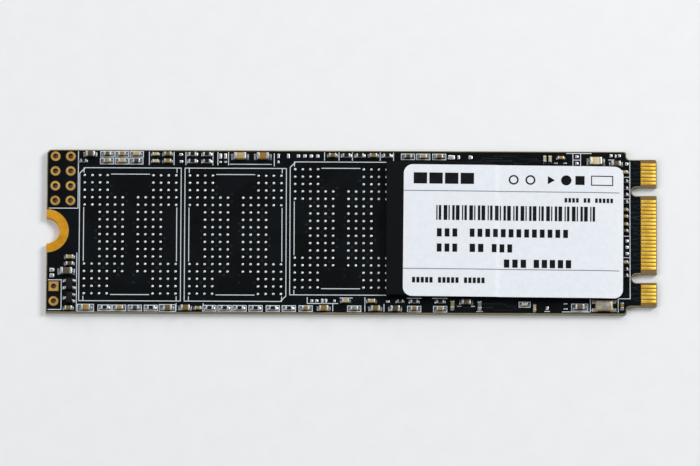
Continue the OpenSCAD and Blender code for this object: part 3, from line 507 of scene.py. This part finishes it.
# Board, print and label
MASK = solder_mask("black_solder_mask", "#030608", "#070B0E")
TRACE = solder_mask("mask_over_copper", "#141B20", "#1F272E")
LAMINATE = glass_laminate()
FINGER = finger_gold()
SOFT_GOLD = gold_plating("immersion_gold", "#C98A1C", "#E4A834", grain=0.12, depth=0.004)
# The rings' barrel colour is painted shade down the holes, over somewhat dull plating
RING_GOLD = gold_plating(
    "immersion_gold_rings", "#BE8C3A", "#D8AE62", grain=0.1, depth=0.003, barrel_shade="#3A260A"
)
INK = screened_ink("white_screened_ink", "#A6AFB7", "#D0D8DF")
LABEL = label_film()
BLACK_INK = ribbon_ink("black_ribbon_ink", "#07080A", "#121316")
GREY_INK = ribbon_ink("grey_ribbon_ink", "#6B7076", "#868C92")

# Solder and plated metal
SOLDER = tin("tin_solder", "#989DA1", "#C4C8CB", (0.22, 0.38), grain=0.09, depth=0.0015)
LAND_SOLDER = tin(
    "tin_solder_domes", "#C6CACC", "#E6E8E9", (0.24, 0.36), grain=0.12, depth=0.0008
)
BALL_SOLDER = tin("ball_solder", "#A3A7AA", "#C4C8CA", (0.25, 0.4), grain=0.1)
TIN_PLATE = tin("tin_plate", "#B0B2B0", "#D6D8D5", (0.28, 0.42), grain=0.05)
BLOCK_TIN = tin("pale_tin_plate", "#CFC8B2", "#E3DFD0", (0.34, 0.5), grain=0.06)
LID_METAL = tin("nickel_lid", "#BDB5A2", "#D3CCBB", (0.28, 0.42), grain=0.07)

# Packages and chips
MEMORY = mould_compound("mould_compound_memory", "#07090B", "#0E1114", (0.5, 0.66), 0.07)
BLACK_MOULD = mould_compound("mould_compound_black", "#090B0D", "#121416", (0.42, 0.6), 0.16)
GLAZE = mould_compound("black_resistor_glaze", "#090A0C", "#141619", (0.2, 0.34), 0.3)
FERRITE = mould_compound("ferrite", "#2A2C2E", "#424548", (0.6, 0.8))
ALUMINA = fired_ceramic("white_alumina", "#CFCDC5", "#DEDCD5", "#EAE8E2")
CRYSTAL_BASE = fired_ceramic("brown_alumina", "#6E5F45", "#85755A", "#97886B")
CERAMICS = {
    "tan": fired_ceramic("tan_titanate", "#846D38", "#A48B50", "#BDA568"),
    "orange": fired_ceramic("orange_titanate", "#70500F", "#8A661B", "#A07A2A"),
    "brown": fired_ceramic("brown_titanate", "#352A1B", "#473A28", "#594B37"),
    "olive": fired_ceramic("olive_titanate", "#50461A", "#6B5D24", "#847530"),
    "grey": fired_ceramic("grey_titanate", "#57574B", "#6C6D5E", "#828474"),
    "cream": fired_ceramic("cream_titanate", "#B29F78", "#C6B48C", "#D4C4A0"),
}


def coat(obj, material):
    """Puts a material in every slot of an object."""
    if not obj.material_slots:
        obj.data.materials.append(material)
    for slot in obj.material_slots:
        slot.material = material


coat(floor, floor_sheet())

# Nodes that keep their solid's shape
KEPT = {
    "board_core": LAMINATE,
    "mask_top": MASK,
    "mask_bottom": MASK,
    "notch_plating": SOFT_GOLD,
    "header_holes": RING_GOLD,
    "jumper_holes": RING_GOLD,
    "site_frames": INK,
    "part_legend": INK,
    "regulator_pads": TIN_PLATE,
    "label": LABEL,
    "label_rules": GREY_INK,
    "label_bars": BLACK_INK,
    "label_blocks": BLACK_INK,
    "label_marks": BLACK_INK,
}
for name, material in KEPT.items():
    coat(nodes[name], material)


# Tools for the pieces

def only(obj):
    """Selects one object alone."""
    bpy.ops.object.select_all(action="DESELECT")
    obj.select_set(True)
    bpy.context.view_layer.objects.active = obj


def joined(parts):
    """Joins objects in one."""
    bpy.ops.object.select_all(action="DESELECT")
    for part in parts:
        part.select_set(True)
    bpy.context.view_layer.objects.active = parts[0]
    bpy.ops.object.join()
    return bpy.context.object


def settle(obj, name, material, replaced=(), angle=ROUND_ANGLE):
    """Names a finished piece, smooths it, ties it to the board and hides the nodes it takes the
    place of.
    """
    only(obj)
    bpy.ops.object.transform_apply(location=True, rotation=True, scale=True)
    bpy.ops.object.shade_smooth_by_angle(angle=math.radians(angle))
    obj.name = name
    obj.data.name = name
    coat(obj, material)
    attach(obj, ROOT)
    if replaced:
        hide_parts(*replaced)


def eased(node, name, material, radius):
    """Copy of a node with its sharp edges rounded off, the radius in millimetres."""
    obj = bpy.data.objects.new(name, nodes[node].data.copy())
    bpy.context.scene.collection.objects.link(obj)
    obj.data.materials.clear()
    only(obj)
    bpy.ops.object.mode_set(mode="EDIT")
    bpy.ops.mesh.select_all(action="SELECT")
    # Loose triangles are merged, and flat faces made whole, before their edges are bevelled
    bpy.ops.mesh.remove_doubles(threshold=0.0005 * MM)
    bpy.ops.mesh.dissolve_limited(angle_limit=math.radians(1))
    bpy.ops.mesh.normals_make_consistent(inside=False)
    bpy.ops.object.mode_set(mode="OBJECT")
    bevel = obj.modifiers.new("edge", "BEVEL")
    bevel.width = radius * MM
    bevel.segments = 2
    bevel.limit_method = "ANGLE"
    bevel.angle_limit = math.radians(30)
    bevel.use_clamp_overlap = True
    bpy.ops.object.modifier_apply(modifier="edge")
    settle(obj, name, material, (node,), CUT_ANGLE)


def islands(node):
    """Separate solids of a node, each with its lowest corner, its highest corner and its
    points, in millimetres."""
    # Points of loose triangles are one where they agree to this step
    step = 1e-4
    mesh = nodes[node].data
    keys = [tuple(round(c / (step * MM)) for c in v.co) for v in mesh.vertices]
    parent = {key: key for key in keys}

    def find(key):
        """Key that stands for all the points joined to this one."""
        while parent[key] != key:
            parent[key] = parent[parent[key]]
            key = parent[key]
        return key

    for polygon in mesh.polygons:
        first = find(keys[polygon.vertices[0]])
        for i in polygon.vertices[1:]:
            parent[find(keys[i])] = first
    groups = {}
    for key in parent:
        groups.setdefault(find(key), []).append(Vector(key) * step)
    found = []
    for points in groups.values():
        low = Vector(min(p[i] for p in points) for i in range(3))
        high = Vector(max(p[i] for p in points) for i in range(3))
        found.append((low, high, points))
    found.sort(key=lambda solid: (round(solid[0].x, 3), round(solid[0].y, 3), solid[0].z))
    return found


def repeated(master, places):
    """Copies of a master, each with its own mesh and placed by a matrix, joined in one."""
    copies = []
    for matrix in places:
        mesh = master.data.copy()
        mesh.transform(matrix)
        copy = bpy.data.objects.new("copy", mesh)
        bpy.context.scene.collection.objects.link(copy)
        copies.append(copy)
    bpy.data.objects.remove(master)
    return joined(copies)


def boxed(low, high):
    """Matrix that fits a unit master, centred on the origin and standing on it, in a box."""
    middle = (low + high) / 2
    size = high - low
    return (
        Matrix.Translation((middle.x * MM, middle.y * MM, low.z * MM))
        @ Matrix.Diagonal((size.x * MM, size.y * MM, size.z * MM, 1))
    )


def open_edit(obj):
    """Opens one object in edit mode with all of it selected."""
    only(obj)
    bpy.ops.object.mode_set(mode="EDIT")
    bpy.ops.mesh.select_all(action="SELECT")


def close_edit():
    """Merges the doubles of a unit master, turns its faces outwards and leaves edit mode."""
    bpy.ops.mesh.select_all(action="SELECT")
    bpy.ops.mesh.remove_doubles(threshold=1e-5)
    bpy.ops.mesh.normals_make_consistent(inside=False)
    bpy.ops.object.mode_set(mode="OBJECT")


# Solder

def unit_ball():
    """Sphere one unit wide, open in edit mode, with few faces because it is copied often."""
    bpy.ops.mesh.primitive_uv_sphere_add(segments=12, ring_count=8, radius=0.5)
    ball = bpy.context.object
    open_edit(ball)
    return ball


def dome_master():
    """Half of a flattened ball, one unit wide and one unit high."""
    dome = unit_ball()
    bpy.ops.mesh.bisect(
        plane_co=(0, 0, 0), plane_no=(0, 0, 1), use_fill=True, clear_inner=True
    )
    bpy.ops.mesh.select_all(action="SELECT")
    bpy.ops.transform.resize(value=(1, 1, 2), center_override=(0, 0, 0))
    close_edit()
    return dome


def ball_master():
    """Ball pressed flat at both ends, one unit wide and one unit high."""
    ball = unit_ball()
    # Height of the flats above and below the ball's middle
    flat = 0.36
    for side in (-1, 1):
        bpy.ops.mesh.select_all(action="SELECT")
        bpy.ops.mesh.bisect(
            plane_co=(0, 0, side * flat), plane_no=(0, 0, side), use_fill=True,
            clear_outer=True,
        )
    bpy.ops.mesh.select_all(action="SELECT")
    bpy.ops.transform.resize(value=(1, 1, 0.5 / flat), center_override=(0, 0, 0))
    bpy.ops.transform.translate(value=(0, 0, 0.5))
    close_edit()
    return ball


def cushion_master(all_round):
    """Solder frozen on a rectangular pad, with a crown that swells towards the middle. Its
    edges are softened all round, or those of its four corners alone."""
    bpy.ops.mesh.primitive_cube_add(size=1, location=(0, 0, 0.5))
    cushion = bpy.context.object
    open_edit(cushion)
    bpy.ops.mesh.select_mode(type="EDGE")
    bpy.ops.mesh.select_all(action="DESELECT")
    bpy.ops.object.mode_set(mode="OBJECT")
    mesh = cushion.data
    for edge in mesh.edges:
        low, high = (mesh.vertices[i].co.z for i in edge.vertices)
        edge.select = all_round or abs(low - high) > 0.5
    bpy.ops.object.mode_set(mode="EDIT")
    bpy.ops.mesh.bevel(offset=0.13, segments=2)
    bpy.ops.mesh.select_mode(type="FACE")
    bpy.ops.mesh.select_all(action="DESELECT")
    bpy.ops.object.mode_set(mode="OBJECT")
    # The top, with what leans out from it by less than 26 degrees
    for polygon in mesh.polygons:
        polygon.select = polygon.normal.z > 0.9
    bpy.ops.object.mode_set(mode="EDIT")
    # Sides as high as this share of the pad, then rings that draw in as they rise
    side = 0.45
    bpy.ops.transform.translate(value=(0, 0, side - 1))
    for share, rise in ((0.93, 0.25), (0.78, 0.18), (0.5, 0.12)):
        bpy.ops.mesh.extrude_region_move(TRANSFORM_OT_translate={"value": (0, 0, rise)})
        bpy.ops.transform.resize(value=(share, share, 1), center_override=(0, 0, 0))
    close_edit()
    return cushion


def fillet_master():
    """Solder that climbs a chip's end: one unit long from its toe at x = 0 to the chip's
    end at x = 1, one unit wide and high, hollow, with its sides drawn in."""
    bpy.ops.mesh.primitive_plane_add(
        size=1, location=(1, 0, 0.5), rotation=(0, math.radians(90), 0)
    )
    fillet = bpy.context.object
    bpy.ops.object.transform_apply(location=True, rotation=True, scale=True)
    open_edit(fillet)
    # From the chip's end out to the toe: distance from the toe, and height there
    reached, height = 1.0, 1.0
    for x, z in ((0.8, 0.66), (0.55, 0.4), (0.28, 0.22), (0.0, 0.1)):
        bpy.ops.mesh.extrude_region_move(
            TRANSFORM_OT_translate={"value": (x - reached, 0, 0)}
        )
        bpy.ops.transform.resize(value=(1, 0.95, z / height), center_override=(x, 0, 0))
        reached, height = x, z
    close_edit()
    rounded = fillet.modifiers.new("round", "SUBSURF")
    rounded.levels = rounded.render_levels = 1
    bpy.ops.object.modifier_apply(modifier="round")
    return fillet


def fillet_place(low, high, points):
    """Matrix that stands a fillet on a joint, from its toe up to the chip's end."""
    middle = (low.xy + high.xy) / 2
    size = high - low
    # The crest, which is all within this much of the top, lies on the chip's side
    crest_t = 0.01
    crest = [p.xy for p in points if p.z > high.z - crest_t]
    peak = sum(crest, Vector((0, 0))) / len(crest)
    lean = peak - middle
    # The chip lies along x, which is axis 0, or along y, which is axis 1
    least_lean = 0.001
    leans_in_x = abs(lean.x) > least_lean and size.x * abs(lean.x) > size.y * abs(lean.y)
    axis = 0 if leans_in_x else 1
    way = Vector((0, 0))
    way[axis] = math.copysign(1, lean[axis])
    toe = low[axis] if way[axis] > 0 else high[axis]
    reach = abs(peak[axis] - toe)
    start = middle.copy()
    start[axis] = toe
    # The fillet starts inside the pad, so that no gap shows
    foot = BOARD_TOP + PAD_T / 2
    return (
        Matrix.Translation((start.x * MM, start.y * MM, foot * MM))
        @ Matrix.Rotation(math.atan2(way.y, way.x), 4, "Z")
        @ Matrix.Diagonal((reach * MM, size[1 - axis] * MM, (high.z - foot) * MM, 1))
    )


def solder_joints():
    """A pad under each chip's end, and the hollow fillet that climbs it from outside."""
    pads = []
    fillets = []
    for low, high, points in islands("solder_joints"):
        pads.append(boxed(low, Vector((high.x, high.y, BOARD_TOP + PAD_T))))
        # A joint less than two pads high is a pad alone
        if high.z - low.z >= 2 * PAD_T:
            fillets.append(fillet_place(low, high, points))
    pad_piece = repeated(cushion_master(all_round=True), pads)
    fillet_piece = repeated(fillet_master(), fillets)
    settle(
        joined([fillet_piece, pad_piece]), "solder_fillets", SOLDER,
        ("solder_joints",),
    )


def solder_piece(node, name, master, material):
    """One piece that stands a master in the box of each solid of a node."""
    places = [boxed(low, high) for low, high, points in islands(node)]
    settle(repeated(master, places), name, material, (node,))


solder_piece("site_lands", "land_domes", dome_master(), LAND_SOLDER)
solder_piece(
    "memory_balls", "memory_ball_rows", ball_master(), BALL_SOLDER
)
solder_piece(
    "controller_balls", "controller_ball_rows", ball_master(), BALL_SOLDER,
)
solder_joints()
solder_piece(
    "bare_pads", "pad_cushions", cushion_master(all_round=False), LAND_SOLDER
)


# Chips and packages

for finish, material in CERAMICS.items():
    eased(
        finish + "_capacitors", finish + "_chips", material, radius=0.035
    )

# Node, piece, material, slot and the radius of its edges
for node, name, material, slot, radius in (
    ("contacts_top", "upper_fingers", FINGER, "contact_gold_top", 0.012),
    ("contacts_bottom", "lower_fingers", FINGER, "contact_gold_bottom", 0.012),
    ("memory_package", "memory_body", MEMORY, "memory_mould", 0.06),
    ("controller_package", "controller_body", BLACK_MOULD, "controller_mould", 0.06),
    ("power_coil", "coil_body", FERRITE, "coil_ferrite", 0.08),
    ("coil_ends", "coil_caps", TIN_PLATE, "coil_tin", 0.06),
    ("regulator", "regulator_body", BLACK_MOULD, "regulator_mould", 0.04),
    ("capacitor_ends", "capacitor_caps", TIN_PLATE, "capacitor_tin", 0.04),
    ("resistor_blocks", "resistor_bricks", ALUMINA, "resistor_alumina", 0.012),
    ("resistor_coats", "resistor_glazes", GLAZE, "resistor_glaze", 0.02),
    ("resistor_ends", "resistor_caps", TIN_PLATE, "resistor_tin", 0.03),
    ("cream_block", "cream_body", CERAMICS["cream"], "cream_moulding", 0.05),
    ("cream_block_ends", "cream_caps", BLOCK_TIN, "cream_block_tin", 0.06),
    ("crystal_base", "crystal_tray", CRYSTAL_BASE, "crystal_ceramic", 0.02),
    ("crystal_corners", "crystal_feet", SOFT_GOLD, "crystal_gold", 0.02),
    ("crystal_lid", "crystal_cover", LID_METAL, "crystal_lid_metal", 0.03),
    ("transistor_bodies", "transistor_cases", BLACK_MOULD, "transistor_mould", 0.03),
    ("transistor_leads", "transistor_legs", TIN_PLATE, "lead_tin", 0.02),
):
    eased(node, name, material, radius)


# Copper under the mask

def trace(points, width, z):
    """Low round ridge along a path: a copper line under the mask."""
    curve = bpy.data.curves.new("trace", "CURVE")
    curve.dimensions = "3D"
    curve.bevel_depth = width / 2 * MM
    curve.bevel_resolution = 1
    curve.use_fill_caps = True
    spline = curve.splines.new("POLY")
    spline.points.add(len(points) - 1)
    for point, (x, y) in zip(spline.points, points):
        point.co = (x * MM, y * MM, 0, 1)
    obj = bpy.data.objects.new("trace", curve)
    bpy.context.scene.collection.objects.link(obj)
    only(obj)
    bpy.ops.object.convert(target="MESH")
    obj = bpy.context.object
    obj.data.transform(
        Matrix.Translation((0, 0, z * MM)) @ Matrix.Diagonal((1, 1, 2 * MASK_RISE / width, 1))
    )
    return obj


def trace_piece(runs, name, width, z):
    """One piece of all the lines of a group, in millimetres."""
    settle(joined([trace(run, width, z) for run in runs]), name, TRACE)


def finger_runs():
    """Lines that run in from the contacts, each to a via. Neighbours end at different
    depths and step aside by different widths, so that their vias stay clear."""
    pitch = 0.5
    depths = (0.55, 0.95, 1.25)
    steps = (0.22, -0.18, 0.0)
    # Stretch under the contact, straight start behind it, and straight end before the via
    lap = 0.02
    start = 0.25
    end = 0.15
    runs = []
    for low, high, points in islands("contacts_top"):
        y = (low.y + high.y) / 2
        number = round(y / pitch)
        aside = y + steps[number % 3]
        bend = low.x - start
        via = bend - depths[(number * 2) % 3]
        runs.append([(low.x + lap, y), (bend, y), (via + end, aside), (via, aside)])
    return runs


def underside_runs():
    """Two bundles of lines, made up, each line beside the last."""
    runs = []
    for i in range(8):
        shift = 0.35 * i
        runs.append([
            (-33, 2 + shift), (-12 + i, 2 + shift), (-8 + i, -2 + shift),
            (22 - 0.6 * i, -2 + shift), (25 - 0.6 * i, 1 + shift), (34, 1 + shift),
        ])
    for i in range(5):
        shift = 0.4 * i
        runs.append([
            (-30 + 2 * i, -8.6 + shift), (4 + i, -8.6 + shift), (7 + i, -5.6 + shift),
            (30, -5.6 + shift),
        ])
    return runs


def site_vias():
    """Vias in some of the gaps between the lands of the empty sites."""
    first_x, site_pitch, site_y = -1.45, 13.8, 0.45
    middles = [
        (first_x, site_y), (first_x - site_pitch, -site_y), (first_x - 2 * site_pitch, -site_y)
    ]
    places = []
    for x, y in middles:
        for row in range(-7, 7):
            for column in range(-5, 5):
                # This leaves two gaps in seven, spread evenly
                if (3 * row + 5 * column) % 7 in (0, 3):
                    places.append((x + column + 0.5, y + row + 0.5))
    return places


def via_master():
    """Ring-shaped swell of the mask over a via, one unit wide and one unit high."""
    tube_r = 0.15
    bpy.ops.mesh.primitive_torus_add(
        major_segments=14, minor_segments=6, major_radius=0.5 - tube_r, minor_radius=tube_r
    )
    ring = bpy.context.object
    open_edit(ring)
    bpy.ops.transform.resize(value=(1, 1, 0.5 / tube_r), center_override=(0, 0, 0))
    close_edit()
    return ring


def via_place(x, y, z):
    """Matrix that sinks the lower half of a via's swell in the mask."""
    return (
        Matrix.Translation((x * MM, y * MM, z * MM))
        @ Matrix.Diagonal((VIA_W * MM, VIA_W * MM, 2 * MASK_RISE * MM, 1))
    )


def run_ends(runs):
    """Both ends of each line, where its vias stand."""
    return [end for run in runs for end in (run[0], run[-1])]


# Lines beside the label, as the photograph faintly shows them
STRIP_RUNS = [
    [(14.4, 9.3), (17.2, 9.3), (17.6, 9.7), (20.8, 9.7)],
    [(15.2, 9.62), (16.8, 9.62), (17.2, 10.02), (19.6, 10.02)],
    [(18.8, 10.35), (21.6, 10.35), (22, 9.95), (24.2, 9.95)],
    [(21.4, 9.35), (23, 9.35), (23.35, 9.7), (25, 9.7)],
    [(25.4, 9.4), (26.6, 9.4), (26.9, 9.1), (27.8, 9.1)],
    [(13.6, -9.75), (14.3, -9.75), (14.7, -10.15), (18.4, -10.15)],
    [(17.2, -9.65), (20, -9.65), (20.4, -10.05), (21.4, -10.05)],
    [(18.9, -10.5), (20.9, -10.5), (21.2, -10.35), (22, -10.35)],
    [(31.9, 7.9), (33, 7.9), (33.5, 8.3), (34.4, 8.3)],
]
FINGER_RUNS = finger_runs()
UNDERSIDE_RUNS = underside_runs()
trace_piece(FINGER_RUNS, "finger_traces", width=0.13, z=BOARD_TOP)
trace_piece(STRIP_RUNS, "strip_traces", width=0.12, z=BOARD_TOP)
trace_piece(UNDERSIDE_RUNS, "underside_traces", width=0.15, z=0)

# A via goes through the board, so those of the upper face show on the lower face too
through_vias = [run[-1] for run in FINGER_RUNS] + site_vias() + run_ends(STRIP_RUNS)
for z, name, slot, vias in (
    (BOARD_TOP, "upper_vias", "mask_film_top", through_vias),
    (0, "lower_vias", "mask_film_bottom", through_vias + run_ends(UNDERSIDE_RUNS)),
):
    settle(repeated(via_master(), [via_place(x, y, z) for x, y in vias]), name, TRACE)
